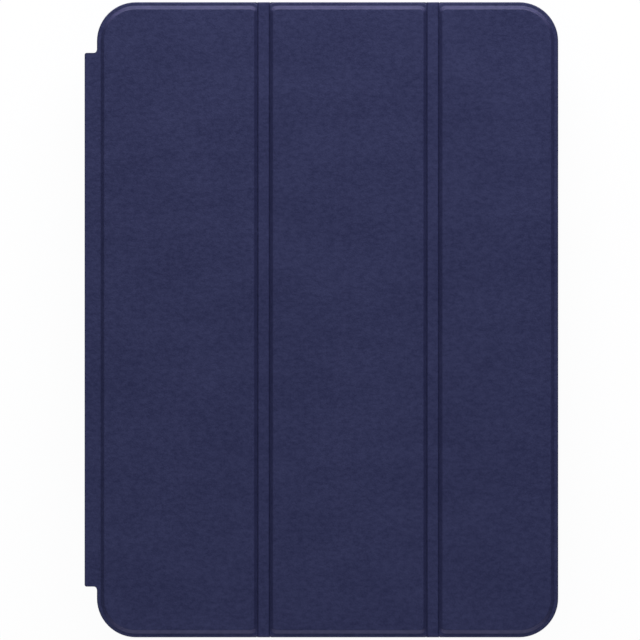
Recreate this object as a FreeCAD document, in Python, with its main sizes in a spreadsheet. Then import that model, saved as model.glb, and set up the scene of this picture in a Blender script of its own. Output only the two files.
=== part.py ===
"""Three-panel folding tablet case: a moulded tray, a folding spine and a cover of three stiffened panels.

The tray lies on its back. +X runs from the spine to the free edge of the cover, +Y along the folds
and +Z out of the closed cover. The origin is the middle of the tray's rear face. Lengths are millimetres.
"""

import FreeCAD, Part
import math
import os

import Sketcher

SIZES = {
    # The tablet that the tray is made for
    "tablet_width": 178.5,
    "tablet_length": 247.6,
    "tablet_depth": 6.1,
    # Moulded tray
    "fit_gap": 0.3,
    "shell_wall": 1.4,
    "shell_floor": 1.0,
    "shell_edge_radius": 2.4,
    "lip_reach": 0.7,
    "lip_thickness": 0.6,
    "lip_gap": 0.1,
    # Sheets that the case is laminated from
    "skin": 0.5,
    "lining": 0.4,
    "board": 1.2,
    "spine_board": 0.8,
    "lay_gap": 0.05,
    # Cover outline and raised panels
    "close_gap": 0.2,
    "cover_overhang": 0.2,
    "corner_radius": 15.5,
    "rim_radius": 0.35,
    "hem": 2.1,
    "pad_1_width": 61.3,
    "pad_2_width": 61.5,
    "pad_shoulder": 1.0,
    "pad_corner": 1.8,
    # Folds
    "crease_width": 5.7,
    "crease_stub": 0.2,
    "fold_gap": 0.1,
    "spine_inset": 20.2,
    "spine_reach": 4.9,
    "spine_notch_radius": 1.6,
    "spine_board_margin": 0.9,
    "spine_board_end": 1.5,
    # Camera window in the rear
    "camera_size": 31.0,
    "camera_radius": 9.0,
    "camera_inset": 22.0,
    "camera_rim": 1.3,
    "camera_sink": 0.1,
    # Openings in the tray's end walls
    "speaker_length": 28.0,
    "speaker_height": 3.2,
    "speaker_offset": 44.0,
    "port_width": 16.0,
    "port_height": 5.0,
    # Keys over the tablet's own buttons
    "key_height": 2.6,
    "volume_key_length": 12.0,
    "volume_key_pitch": 16.0,
    "volume_key_inset": 37.0,
    "power_key_length": 11.0,
    "power_key_inset": 21.0,
    "key_proud": 0.7,
    "key_gap": 0.15,
    "key_edge_radius": 0.35,
    "key_collar": 0.6,
    "key_collar_thickness": 0.5,
    "key_seat_gap": 0.05,
    # Closing magnets and stand plates, let into the boards
    "magnet_width": 5.0,
    "magnet_length": 20.0,
    "magnet_thickness": 0.9,
    "magnet_inset": 3.0,
    "magnet_pitch": 48.0,
    "plate_width": 8.0,
    "plate_length": 70.0,
    "plate_thickness": 0.8,
    "plate_inset": 3.0,
    "plate_pitch": 90.0,
    "metal_gap": 0.1,
}
MAGNET_COUNT = 4
PLATE_COUNT = 2
# The round end of a slot, as a share of its height: just under the half that would leave no straight end
SLOT_END_SHARE = 0.45
# A lining's rounded edge, as a share of its thickness
ROUND_SHARE = 0.95
NEAR = 1e-5

# Heights of the stack, from the rear face up
FLOOR_TOP = "(sizes.skin + sizes.shell_floor)"
BAY_BASE = f"({FLOOR_TOP} + sizes.lining)"
LIP_BASE = f"({BAY_BASE} + sizes.tablet_depth + sizes.lip_gap)"
LIP_TOP = f"({LIP_BASE} + sizes.lip_thickness)"
RIM_TOP = f"({LIP_TOP} + sizes.skin)"
COVER_BASE = f"({RIM_TOP} + sizes.close_gap)"
SKIN_BASE = f"({COVER_BASE} + sizes.lining)"
HEM_TOP = f"({SKIN_BASE} + sizes.skin)"
PAD_TOP = f"({SKIN_BASE} + sizes.board + sizes.skin)"
KEY_LEVEL = f"({BAY_BASE} + sizes.tablet_depth / 2)"
FOLD_RADIUS = "((sizes.skin + sizes.lining) / 2)"
FOLD_ROOM = f"({FOLD_RADIUS} + sizes.fold_gap)"
REAR_FOLD_LEVEL = FOLD_RADIUS
COVER_FOLD_LEVEL = f"({COVER_BASE} + {FOLD_RADIUS})"

# Plan sizes, from the tablet outwards
BAY_WIDTH = "(sizes.tablet_width + 2 * sizes.fit_gap)"
BAY_LENGTH = "(sizes.tablet_length + 2 * sizes.fit_gap)"
MOUTH_WIDTH = f"({BAY_WIDTH} - 2 * sizes.lip_reach)"
MOUTH_LENGTH = f"({BAY_LENGTH} - 2 * sizes.lip_reach)"
SHELL_WIDTH = f"({BAY_WIDTH} + 2 * sizes.shell_wall)"
SHELL_LENGTH = f"({BAY_LENGTH} + 2 * sizes.shell_wall)"
TRAY_WIDTH = f"({SHELL_WIDTH} + 2 * sizes.skin)"
TRAY_LENGTH = f"({SHELL_LENGTH} + 2 * sizes.skin)"
COVER_WIDTH = f"({TRAY_WIDTH} + 2 * sizes.cover_overhang)"
COVER_LENGTH = f"({TRAY_LENGTH} + 2 * sizes.cover_overhang)"
TRAY_CORNER = "(sizes.corner_radius - sizes.cover_overhang)"
SHELL_CORNER = f"({TRAY_CORNER} - sizes.skin)"
BAY_CORNER = f"({SHELL_CORNER} - sizes.shell_wall)"
MOUTH_CORNER = f"({BAY_CORNER} - sizes.lip_reach)"
TRAY_EDGE_RADIUS = "(sizes.shell_edge_radius + sizes.skin)"
TRAY_LEFT = f"(-{TRAY_WIDTH} / 2)"

# Places across the cover, from the spine to the free edge
COVER_LEFT = f"(-{COVER_WIDTH} / 2)"
COVER_RIGHT = f"({COVER_WIDTH} / 2)"
SPINE_LEFT = f"({COVER_LEFT} - sizes.spine_reach)"
SPINE_LENGTH = f"({COVER_LENGTH} - 2 * sizes.spine_inset)"
SPINE_SKIN_INNER = f"({SPINE_LEFT} + sizes.skin)"
PAD_1_LEFT = f"({COVER_LEFT} + sizes.hem)"
PAD_1_RIGHT = f"({PAD_1_LEFT} + sizes.pad_1_width)"
PAD_2_LEFT = f"({PAD_1_RIGHT} + sizes.crease_width)"
PAD_2_RIGHT = f"({PAD_2_LEFT} + sizes.pad_2_width)"
PAD_3_LEFT = f"({PAD_2_RIGHT} + sizes.crease_width)"
PAD_3_RIGHT = f"({COVER_RIGHT} - sizes.hem)"
PAD_LENGTH = f"({COVER_LENGTH} - 2 * sizes.hem)"
PAD_OUTER_CORNER = "(sizes.corner_radius - sizes.hem)"
STRIP_EDGE = "(sizes.crease_stub + sizes.fold_gap)"

# The upright spine between its two folds
SPINE_LOW = f"({REAR_FOLD_LEVEL} + {FOLD_ROOM})"
SPINE_HIGH = f"({COVER_FOLD_LEVEL} - {FOLD_ROOM})"
SPINE_HEIGHT = f"({SPINE_HIGH} - {SPINE_LOW})"
SPINE_MIDDLE = f"(({SPINE_HIGH} + {SPINE_LOW}) / 2)"
SPINE_BOARD_SIZE = (
    f"({SPINE_LENGTH} - 2 * sizes.spine_board_end)",
    f"({SPINE_HEIGHT} - 2 * sizes.spine_board_margin)",
)

# Openings and keys
CAMERA_PLACE = (f"({BAY_WIDTH} / 2 - sizes.camera_inset)", f"({BAY_LENGTH} / 2 - sizes.camera_inset)")
CAMERA_WINDOW = ("sizes.camera_size", "sizes.camera_size")
CAMERA_CORNERS = ("sizes.camera_radius", "sizes.camera_radius")
CAMERA_SURROUND = "(sizes.camera_size + 2 * sizes.camera_rim)"
CAMERA_SURROUND_CORNER = "(sizes.camera_radius + sizes.camera_rim)"
VOLUME_UP_Y = f"({BAY_LENGTH} / 2 - sizes.volume_key_inset)"
VOLUME_DOWN_Y = f"({VOLUME_UP_Y} - sizes.volume_key_pitch)"
POWER_X = f"({BAY_WIDTH} / 2 - sizes.power_key_inset)"
KEY_CORNER = f"(sizes.key_height * {SLOT_END_SHARE})"

doc = FreeCAD.newDocument("folding_tablet_case")
sheet = doc.addObject("Spreadsheet::Sheet", "sizes")
for row, (alias, value) in enumerate(SIZES.items(), start=1):
    sheet.set(f"A{row}", alias)
    sheet.set(f"B{row}", str(value))
    sheet.setAlias(f"B{row}", alias)
doc.recompute()

subparts = []


def number(expression):
    """The value of an expression of the sheet's sizes, in millimetres."""
    return float(sheet.evalExpression(expression))


def middle(low, high):
    """The place halfway between two others, as an expression."""
    return f"(({low} + {high}) / 2)"


def span(low, high):
    """The distance from one place to another, as an expression."""
    return f"({high} - {low})"


def less(corners, inset):
    """A pair of corner radii made smaller by an inset, with square corners left square."""
    return tuple(f"({radius} - {inset})" if radius else None for radius in corners)


def new_body(label):
    """An empty body that will be written as one sub-part."""
    body = doc.addObject("PartDesign::Body", label)
    body.Label = label
    subparts.append(body)
    return body


def origin_feature(body, role):
    """The plane or axis of a body's own origin that has this role."""
    return next(feature for feature in body.Origin.OriginFeatures if feature.Role == role)


def bind_constraint(sketch, constraint, expression):
    """Adds a dimension whose value comes from the sheet."""
    index = sketch.addConstraint(constraint)
    sketch.setExpression(f"Constraints[{index}]", expression)


def draw_outline(sketch, width, height, left_radius, right_radius):
    """Draws a rectangle about the sketch's origin, its left and right corners rounded by the radii given."""
    half_width = number(width) / 2
    half_height = number(height) / 2
    left = number(left_radius) if left_radius else 0
    right = number(right_radius) if right_radius else 0
    ends = [
        ((left - half_width, -half_height), (half_width - right, -half_height)),
        ((half_width, right - half_height), (half_width, half_height - right)),
        ((half_width - right, half_height), (left - half_width, half_height)),
        ((-half_width, half_height - left), (-half_width, left - half_height)),
    ]
    lines = []
    for start, end in ends:
        lines.append(sketch.addGeometry(Part.LineSegment(FreeCAD.Vector(*start), FreeCAD.Vector(*end))))
    bottom, right_side, top, left_side = lines
    for line in (bottom, top):
        sketch.addConstraint(Sketcher.Constraint("Horizontal", line))
    for line in (right_side, left_side):
        sketch.addConstraint(Sketcher.Constraint("Vertical", line))

    corners = [
        (bottom, right_side, right, (half_width - right, right - half_height), -90),
        (right_side, top, right, (half_width - right, half_height - right), 0),
        (top, left_side, left, (left - half_width, half_height - left), 90),
        (left_side, bottom, left, (left - half_width, left - half_height), 180),
    ]
    arcs = []
    for before, after, radius, centre, turn in corners:
        if not radius:
            sketch.addConstraint(Sketcher.Constraint("Coincident", before, 2, after, 1))
            arcs.append(None)
            continue
        circle = Part.Circle(FreeCAD.Vector(*centre), FreeCAD.Vector(0, 0, 1), radius)
        arc = sketch.addGeometry(Part.ArcOfCircle(circle, math.radians(turn), math.radians(turn + 90)))
        sketch.addConstraint(Sketcher.Constraint("Tangent", before, 2, arc, 1))
        sketch.addConstraint(Sketcher.Constraint("Tangent", arc, 2, after, 1))
        arcs.append(arc)
    for first, second, radius in ((arcs[0], arcs[1], right_radius), (arcs[2], arcs[3], left_radius)):
        if first is not None:
            sketch.addConstraint(Sketcher.Constraint("Equal", first, second))
            bind_constraint(sketch, Sketcher.Constraint("Radius", first, number(radius)), radius)

    to_right = Sketcher.Constraint("DistanceX", -1, 1, right_side, 1, half_width)
    to_left = Sketcher.Constraint("DistanceX", left_side, 1, -1, 1, half_width)
    to_bottom = Sketcher.Constraint("DistanceY", bottom, 1, -1, 1, half_height)
    to_top = Sketcher.Constraint("DistanceY", -1, 1, top, 1, half_height)
    for constraint, side in ((to_right, width), (to_left, width), (to_bottom, height), (to_top, height)):
        bind_constraint(sketch, constraint, f"{side} / 2")


def new_sketch(body, name, size, place, corners, plane):
    """A rounded rectangle on one of the body's planes, at a place in that plane and a height off it."""
    sketch = body.newObject("Sketcher::SketchObject", name)
    sketch.AttachmentSupport = [(origin_feature(body, plane), "")]
    sketch.MapMode = "FlatFace"
    draw_outline(sketch, *size, *corners)
    for axis, expression in zip("xyz", place):
        sketch.setExpression(f"AttachmentOffset.Base.{axis}", expression)
    return sketch


def add_pad(body, name, size, place, thickness, corners=(None, None), plane="XY_Plane"):
    """Adds a slab that rises from the sketch's plane."""
    profile = new_sketch(body, f"{name}_outline", size, place, corners, plane)
    pad = body.newObject("PartDesign::Pad", name)
    pad.Profile = profile
    pad.setExpression("Length", thickness)
    doc.recompute()
    return pad


def cut_pocket(body, name, size, place, depth, corners=(None, None), plane="XY_Plane", along_normal=False):
    """Cuts a pocket against the plane's normal, or along it. With no depth it goes through everything."""
    before = body.Shape.Volume
    profile = new_sketch(body, f"{name}_outline", size, place, corners, plane)
    pocket = body.newObject("PartDesign::Pocket", name)
    pocket.Profile = profile
    pocket.Reversed = along_normal
    if depth:
        pocket.setExpression("Length", depth)
    else:
        pocket.Type = "ThroughAll"
    doc.recompute()
    if body.Shape.Volume > before - NEAR:
        raise RuntimeError(f"{body.Label}: {name} cuts nothing")
    return pocket


def mirror_feature(body, name, feature, plane):
    """Repeats a feature on the other side of one of the body's planes."""
    mirror = body.newObject("PartDesign::Mirrored", name)
    mirror.Originals = [feature]
    mirror.MirrorPlane = (origin_feature(body, plane), [""])
    body.Tip = mirror
    doc.recompute()


def repeat_feature(body, name, feature, pitch, count):
    """Repeats a feature along the folds at a steady pitch."""
    pattern = body.newObject("PartDesign::LinearPattern", name)
    pattern.Originals = [feature]
    pattern.Direction = (origin_feature(body, "Y_Axis"), [""])
    pattern.setExpression("Length", f"{pitch} * {count - 1}")
    pattern.Occurrences = count
    body.Tip = pattern
    doc.recompute()


def hollow_out(body, name, wall, level):
    """Leaves a wall of even thickness inside the body's surface, open at the flat face at one height."""
    base = body.Tip
    level_test = at_height(level)
    faces = []
    for index, face in enumerate(base.Shape.Faces, start=1):
        if level_test(face.BoundBox):
            faces.append(f"Face{index}")
    hollow = body.newObject("PartDesign::Thickness", name)
    hollow.Base = (base, faces)
    hollow.Reversed = True
    hollow.setExpression("Value", wall)
    doc.recompute()


def round_edges(body, name, radius, chosen):
    """Fillets the edges whose boxes pass a test, on the body as it stands."""
    base = body.Tip
    edges = [f"Edge{index}" for index, edge in enumerate(base.Shape.Edges, start=1) if chosen(edge.BoundBox)]
    if not edges:
        raise RuntimeError(f"{body.Label}: {name} finds no edge")
    fillet = body.newObject("PartDesign::Fillet", name)
    fillet.Base = (base, edges)
    fillet.setExpression("Radius", radius)
    doc.recompute()


def at_height(level):
    """A test for edges that lie wholly at one height."""
    height = number(level)
    return lambda box: abs(box.ZMin - height) < NEAR and abs(box.ZMax - height) < NEAR


def fold_edge(across, level):
    """A test for edges that run along a fold, at one place across and one height."""
    place = number(across)
    level_test = at_height(level)
    return lambda box: level_test(box) and abs(box.XMin - place) < NEAR and abs(box.XMax - place) < NEAR


def notch_edge(box):
    """A test for the upright edges in the notches where the spine's strip leaves the cover."""
    upright = box.XLength < NEAR and box.YLength < NEAR and box.ZLength > NEAR
    at_cover_edge = abs(box.XMin - number(COVER_LEFT)) < NEAR
    return upright and at_cover_edge and abs(abs(box.YMin) - number(SPINE_LENGTH) / 2) < NEAR


def outermost(axis_limit):
    """A test for edges that lie wholly at the outer face of a key that points along X."""
    limit = number(axis_limit)
    return lambda box: abs(box.XMin - limit) < NEAR and abs(box.XMax - limit) < NEAR


def flat_layer(label, size, place, thickness, corners=(None, None), plane="XY_Plane"):
    """A sub-part that starts as one slab."""
    body = new_body(label)
    add_pad(body, "layer", size, place, thickness, corners, plane)
    return body


def cut_key_windows(body):
    """Cuts the windows that the keys' stems pass through."""
    height = "(sizes.key_height + 2 * sizes.key_gap)"
    corners = (f"({KEY_CORNER} + sizes.key_gap)",) * 2
    volume_size = ("(sizes.volume_key_length + 2 * sizes.key_gap)", height)
    power_size = ("(sizes.power_key_length + 2 * sizes.key_gap)", height)
    for name, along in (("volume_up_window", VOLUME_UP_Y), ("volume_down_window", VOLUME_DOWN_Y)):
        cut_pocket(body, name, volume_size, (along, KEY_LEVEL, "0"), None, corners, "YZ_Plane", True)
    cut_pocket(body, "power_window", power_size, (POWER_X, KEY_LEVEL, "0"), None, corners, "XZ_Plane")


def cut_key_recesses(body):
    """Cuts the steps inside the walls that the keys' collars sit in."""
    growth = "2 * (sizes.key_collar + sizes.key_gap)"
    height = f"(sizes.key_height + {growth})"
    corners = (f"({KEY_CORNER} + sizes.key_collar + sizes.key_gap)",) * 2
    depth = "(sizes.key_seat_gap + sizes.key_collar_thickness + sizes.key_gap)"
    volume_size = (f"(sizes.volume_key_length + {growth})", height)
    power_size = (f"(sizes.power_key_length + {growth})", height)
    for name, along in (("volume_up_recess", VOLUME_UP_Y), ("volume_down_recess", VOLUME_DOWN_Y)):
        place = (along, KEY_LEVEL, f"{BAY_WIDTH} / 2")
        cut_pocket(body, name, volume_size, place, depth, corners, "YZ_Plane", True)
    place = (POWER_X, KEY_LEVEL, f"-{BAY_LENGTH} / 2")
    cut_pocket(body, "power_recess", power_size, place, depth, corners, "XZ_Plane")


def cut_end_openings(body):
    """Cuts the speaker slots through both end walls and the charging port through the lower one."""
    slot_size = ("sizes.speaker_length", "sizes.speaker_height")
    slot_corners = (f"(sizes.speaker_height * {SLOT_END_SHARE})",) * 2
    slot_place = ("sizes.speaker_offset", KEY_LEVEL, "0")
    for name, lower_wall in (("upper_speaker_slot", False), ("lower_speaker_slot", True)):
        slot = cut_pocket(body, name, slot_size, slot_place, None, slot_corners, "XZ_Plane", lower_wall)
        mirror_feature(body, f"{name}_pair", slot, "YZ_Plane")
    port_size = ("sizes.port_width", "sizes.port_height")
    port_corners = (f"(sizes.port_height * {SLOT_END_SHARE})",) * 2
    cut_pocket(body, "port", port_size, ("0", KEY_LEVEL, "0"), None, port_corners, "XZ_Plane", True)


def build_rear_shell():
    """The moulded tray: floor, walls, a lip that holds the tablet in, and a surround for its camera."""
    body = new_body("rear_shell")
    corners = (SHELL_CORNER, SHELL_CORNER)
    outline = (SHELL_WIDTH, SHELL_LENGTH)
    add_pad(body, "block", outline, ("0", "0", "sizes.skin"), span("sizes.skin", LIP_TOP), corners)
    round_edges(body, "rear_edge", "sizes.shell_edge_radius", at_height("sizes.skin"))
    mouth_corners = (MOUTH_CORNER, MOUTH_CORNER)
    mouth = (MOUTH_WIDTH, MOUTH_LENGTH)
    cut_pocket(body, "mouth", mouth, ("0", "0", LIP_TOP), span(FLOOR_TOP, LIP_TOP), mouth_corners)
    bay_corners = (BAY_CORNER, BAY_CORNER)
    bay = (BAY_WIDTH, BAY_LENGTH)
    cut_pocket(body, "bay", bay, ("0", "0", LIP_BASE), span(FLOOR_TOP, LIP_BASE), bay_corners)
    surround_corners = (CAMERA_SURROUND_CORNER, CAMERA_SURROUND_CORNER)
    surround_place = (*CAMERA_PLACE, "sizes.camera_sink")
    surround_height = span("sizes.camera_sink", FLOOR_TOP)
    surround = (CAMERA_SURROUND, CAMERA_SURROUND)
    add_pad(body, "camera_surround", surround, surround_place, surround_height, surround_corners)
    cut_pocket(body, "camera_window", CAMERA_WINDOW, (*CAMERA_PLACE, FLOOR_TOP), None, CAMERA_CORNERS)
    cut_end_openings(body)
    cut_key_windows(body)
    cut_key_recesses(body)


def build_rear_skin():
    """The leather over the tray: its back, walls and rim, and the strip that runs on to the spine's fold."""
    body = new_body("rear_skin")
    corners = (TRAY_CORNER, TRAY_CORNER)
    outline = (TRAY_WIDTH, TRAY_LENGTH)
    add_pad(body, "block", outline, ("0", "0", "0"), LIP_TOP, corners)
    round_edges(body, "rear_edge", TRAY_EDGE_RADIUS, at_height("0"))
    hollow_out(body, "shell_space", "sizes.skin", LIP_TOP)
    add_pad(body, "rim", outline, ("0", "0", LIP_TOP), "sizes.skin", corners)
    mouth_corners = (MOUTH_CORNER, MOUTH_CORNER)
    cut_pocket(body, "mouth", (MOUTH_WIDTH, MOUTH_LENGTH), ("0", "0", RIM_TOP), "sizes.skin", mouth_corners)
    round_edges(body, "rim_edge", "sizes.rim_radius", at_height(RIM_TOP))
    window_side = f"({CAMERA_SURROUND} + 2 * sizes.lay_gap)"
    window_corners = (f"({CAMERA_SURROUND_CORNER} + sizes.lay_gap)",) * 2
    cut_pocket(body, "camera_window", (window_side,) * 2, (*CAMERA_PLACE, "sizes.skin"), None, window_corners)
    cut_end_openings(body)
    cut_key_windows(body)
    strip_right = f"({TRAY_LEFT} + {TRAY_EDGE_RADIUS})"
    strip_size = (span(SPINE_LEFT, strip_right), SPINE_LENGTH)
    add_pad(body, "spine_strip", strip_size, (middle(SPINE_LEFT, strip_right), "0", "0"), "sizes.skin")
    round_edges(body, "fold_edge", FOLD_RADIUS, fold_edge(SPINE_LEFT, "0"))


def build_rear_linings():
    """The microfibre on the tray's floor, and the strip of it behind the rear fold."""
    size = (f"({BAY_WIDTH} - 2 * sizes.lay_gap)", f"({BAY_LENGTH} - 2 * sizes.lay_gap)")
    corners = less((BAY_CORNER, BAY_CORNER), "sizes.lay_gap")
    floor = flat_layer("rear_lining", size, ("0", "0", FLOOR_TOP), "sizes.lining", corners)
    cut_pocket(floor, "camera_window", CAMERA_WINDOW, (*CAMERA_PLACE, BAY_BASE), None, CAMERA_CORNERS)

    strip_size = (span(SPINE_LEFT, TRAY_LEFT), SPINE_LENGTH)
    strip_place = (middle(SPINE_LEFT, TRAY_LEFT), "0", "sizes.skin")
    strip = flat_layer("rear_strip_lining", strip_size, strip_place, "sizes.lining")
    strip_top = "(sizes.skin + sizes.lining)"
    round_edges(strip, "fold_edge", f"sizes.lining * {ROUND_SHARE}", fold_edge(SPINE_LEFT, strip_top))


def build_key(label, length, place, turn):
    """A key: a stem that stands proud of the leather and a collar that keeps it in the wall."""
    body = new_body(label)
    collar_size = (f"({length} + 2 * sizes.key_collar)", "(sizes.key_height + 2 * sizes.key_collar)")
    collar_corners = (f"({KEY_CORNER} + sizes.key_collar)",) * 2
    seat = ("0", "0", "sizes.key_seat_gap")
    add_pad(body, "collar", collar_size, seat, "sizes.key_collar_thickness", collar_corners, "YZ_Plane")
    outer_face = "(sizes.shell_wall + sizes.skin + sizes.key_proud)"
    stem_length = span("sizes.key_seat_gap", outer_face)
    stem_corners = (KEY_CORNER, KEY_CORNER)
    add_pad(body, "stem", (length, "sizes.key_height"), seat, stem_length, stem_corners, "YZ_Plane")
    round_edges(body, "key_edge", "sizes.key_edge_radius", outermost(outer_face))
    body.Placement = FreeCAD.Placement(FreeCAD.Vector(), FreeCAD.Rotation(FreeCAD.Vector(0, 0, 1), turn))
    for axis, expression in zip("xyz", place):
        body.setExpression(f"Placement.Base.{axis}", expression)


def build_spine():
    """The upright spine: leather outside, a stiffening board, and lining drawn over the board inside."""
    sheet_size = (SPINE_LENGTH, SPINE_HEIGHT)
    flat_layer("spine_skin", sheet_size, ("0", SPINE_MIDDLE, SPINE_LEFT), "sizes.skin", plane="YZ_Plane")
    inner_place = ("0", SPINE_MIDDLE, SPINE_SKIN_INNER)
    flat_layer("spine_board", SPINE_BOARD_SIZE, inner_place, "sizes.spine_board", plane="YZ_Plane")

    lining = flat_layer("spine_lining", sheet_size, inner_place, "sizes.lining", plane="YZ_Plane")
    cover_size = tuple(f"({side} + 2 * sizes.lining)" for side in SPINE_BOARD_SIZE)
    cover_depth = "(sizes.spine_board + sizes.lining)"
    add_pad(lining, "board_cover", cover_size, inner_place, cover_depth, plane="YZ_Plane")
    inner_face = f"({SPINE_SKIN_INNER} + {cover_depth})"
    round_edges(lining, "board_cover_edge", f"sizes.lining * {ROUND_SHARE}", outermost(inner_face))
    depth = "sizes.spine_board"
    plane = "YZ_Plane"
    cut_pocket(lining, "board_space", SPINE_BOARD_SIZE, inner_place, depth, plane=plane, along_normal=True)


def add_spine_strip(body, base):
    """Adds the strip of a first-panel sheet that reaches over to the spine's upper fold."""
    thickness = "sizes.skin" if base == SKIN_BASE else "sizes.lining"
    strip_size = (span(SPINE_LEFT, PAD_1_LEFT), SPINE_LENGTH)
    add_pad(body, "spine_strip", strip_size, (middle(SPINE_LEFT, PAD_1_LEFT), "0", base), thickness)
    round_edges(body, "notch", "sizes.spine_notch_radius", notch_edge)


def build_panel(index, pad_edges, sheet_edges, corners):
    """One cover panel: a leather sheet with a raised pad, the board in the pad, and the lining under both.

    The pad's edges and the sheet's edges are places across the cover. The corners are the radii of the
    sheet's left and right corners, square where a crease runs on.
    """
    has_spine = index == 1
    sheet_size = (span(*sheet_edges), COVER_LENGTH)
    sheet_middle = middle(*sheet_edges)
    pad_size = (span(*pad_edges), PAD_LENGTH)
    pad_middle = middle(*pad_edges)
    pad_corners = tuple(PAD_OUTER_CORNER if radius else "sizes.pad_corner" for radius in corners)

    skin_place = (sheet_middle, "0", SKIN_BASE)
    skin = flat_layer(f"panel_{index}_skin", sheet_size, skin_place, "sizes.skin", corners)
    if has_spine:
        add_spine_strip(skin, SKIN_BASE)
        round_edges(skin, "fold_edge", FOLD_RADIUS, fold_edge(SPINE_LEFT, HEM_TOP))
    add_pad(skin, "raised_pad", pad_size, (pad_middle, "0", SKIN_BASE), span(SKIN_BASE, PAD_TOP), pad_corners)
    round_edges(skin, "pad_shoulder", "sizes.pad_shoulder", at_height(PAD_TOP))
    core_size = tuple(f"({side} - 2 * sizes.skin)" for side in pad_size)
    core_corners = less(pad_corners, "sizes.skin")
    core_place = (pad_middle, "0", SKIN_BASE)
    cut_pocket(skin, "board_space", core_size, core_place, "sizes.board", core_corners, along_normal=True)

    board_size = tuple(f"({side} - 2 * sizes.lay_gap)" for side in core_size)
    board_corners = less(core_corners, "sizes.lay_gap")
    board = flat_layer(f"panel_{index}_board", board_size, core_place, "sizes.board", board_corners)

    lining_place = (sheet_middle, "0", COVER_BASE)
    lining = flat_layer(f"panel_{index}_lining", sheet_size, lining_place, "sizes.lining", corners)
    if has_spine:
        add_spine_strip(lining, COVER_BASE)
        round_edges(lining, "fold_edge", f"sizes.lining * {ROUND_SHARE}", fold_edge(SPINE_LEFT, COVER_BASE))
    return board


def build_crease(index, pad_edges):
    """The strip of bonded leather and lining between two panels, rounded where it turns about its folds."""
    strip_edges = (f"({pad_edges[0]} + {STRIP_EDGE})", f"({pad_edges[1]} - {STRIP_EDGE})")
    size = (span(*strip_edges), COVER_LENGTH)
    place = middle(*strip_edges)
    skin = flat_layer(f"crease_{index}_skin", size, (place, "0", SKIN_BASE), "sizes.skin")
    lining = flat_layer(f"crease_{index}_lining", size, (place, "0", COVER_BASE), "sizes.lining")
    for side, edge in zip(("near", "far"), strip_edges):
        round_edges(skin, f"{side}_fold", FOLD_RADIUS, fold_edge(edge, HEM_TOP))
        round_edges(lining, f"{side}_fold", f"sizes.lining * {ROUND_SHARE}", fold_edge(edge, COVER_BASE))


def let_in_metal(board, label, kind, count, centre):
    """Sinks a row of metal blocks into a board's underside, each in a pocket with a little room round it."""
    first = f"(-sizes.{kind}_pitch * {(count - 1) / 2})"
    sides = (f"sizes.{kind}_width", f"sizes.{kind}_length")
    pocket_size = tuple(f"({side} + 2 * sizes.metal_gap)" for side in sides)
    pocket_place = (centre, first, SKIN_BASE)
    depth = f"sizes.{kind}_thickness"
    pocket = cut_pocket(board, f"{kind}_pocket", pocket_size, pocket_place, depth, along_normal=True)
    repeat_feature(board, f"{kind}_pockets", pocket, f"sizes.{kind}_pitch", count)
    blocks = []
    for index in range(count):
        block = doc.addObject("Part::Box", f"{kind}_{index + 1}")
        block.setExpression("Length", f"sizes.{kind}_width")
        block.setExpression("Width", f"sizes.{kind}_length")
        block.setExpression("Height", depth)
        block.setExpression("Placement.Base.x", f"{centre} - sizes.{kind}_width / 2")
        block_middle = f"{first} + sizes.{kind}_pitch * {index}"
        block.setExpression("Placement.Base.y", f"{block_middle} - sizes.{kind}_length / 2")
        block.setExpression("Placement.Base.z", SKIN_BASE)
        blocks.append(block)
    group = doc.addObject("Part::Compound", label)
    group.Label = label
    group.Links = blocks
    subparts.append(group)


def build_cover():
    """The three panels, the two creases between them, and the metal in the first and last boards."""
    outer = "sizes.corner_radius"
    stub = "sizes.crease_stub"
    first_board = build_panel(
        1, (PAD_1_LEFT, PAD_1_RIGHT), (COVER_LEFT, f"({PAD_1_RIGHT} + {stub})"), (outer, None)
    )
    build_crease(1, (PAD_1_RIGHT, PAD_2_LEFT))
    build_panel(
        2, (PAD_2_LEFT, PAD_2_RIGHT), (f"({PAD_2_LEFT} - {stub})", f"({PAD_2_RIGHT} + {stub})"), (None, None)
    )
    build_crease(2, (PAD_2_RIGHT, PAD_3_LEFT))
    last_board = build_panel(
        3, (PAD_3_LEFT, PAD_3_RIGHT), (f"({PAD_3_LEFT} - {stub})", COVER_RIGHT), (None, outer)
    )
    edge = "(sizes.skin + sizes.lay_gap)"
    plate_centre = f"({PAD_1_LEFT} + {edge} + sizes.plate_inset + sizes.plate_width / 2)"
    let_in_metal(first_board, "stand_plates", "plate", PLATE_COUNT, plate_centre)
    magnet_centre = f"({PAD_3_RIGHT} - {edge} - sizes.magnet_inset - sizes.magnet_width / 2)"
    let_in_metal(last_board, "closing_magnets", "magnet", MAGNET_COUNT, magnet_centre)


def check_document():
    """Stops if anything failed to build."""
    doc.recompute()
    for item in doc.Objects:
        if any(state in ("Invalid", "Error") for state in item.State):
            raise RuntimeError(f"{item.Label} is {item.State}")
    for subpart in subparts:
        if subpart.Shape.isNull() or not subpart.Shape.isValid():
            raise RuntimeError(f"{subpart.Label} has no valid shape")


def write_parts():
    """Writes each sub-part to a file of its own."""
    os.makedirs("parts", exist_ok=True)
    for subpart in subparts:
        subpart.Shape.exportStep(f"parts/{subpart.Label}.step")


build_rear_shell()
build_rear_skin()
build_rear_linings()
build_key("volume_up_key", "sizes.volume_key_length", (f"{BAY_WIDTH} / 2", VOLUME_UP_Y, KEY_LEVEL), 0)
build_key("volume_down_key", "sizes.volume_key_length", (f"{BAY_WIDTH} / 2", VOLUME_DOWN_Y, KEY_LEVEL), 0)
build_key("power_key", "sizes.power_key_length", (POWER_X, f"{BAY_LENGTH} / 2", KEY_LEVEL), 90)
build_spine()
build_cover()
check_document()
write_parts()
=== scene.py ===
"""A closed three-panel folding tablet case in navy grained leather, seen square from above."""

from __future__ import annotations

import logging
import math
from dataclasses import dataclass, field
from enum import Enum
from typing import Any

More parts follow.
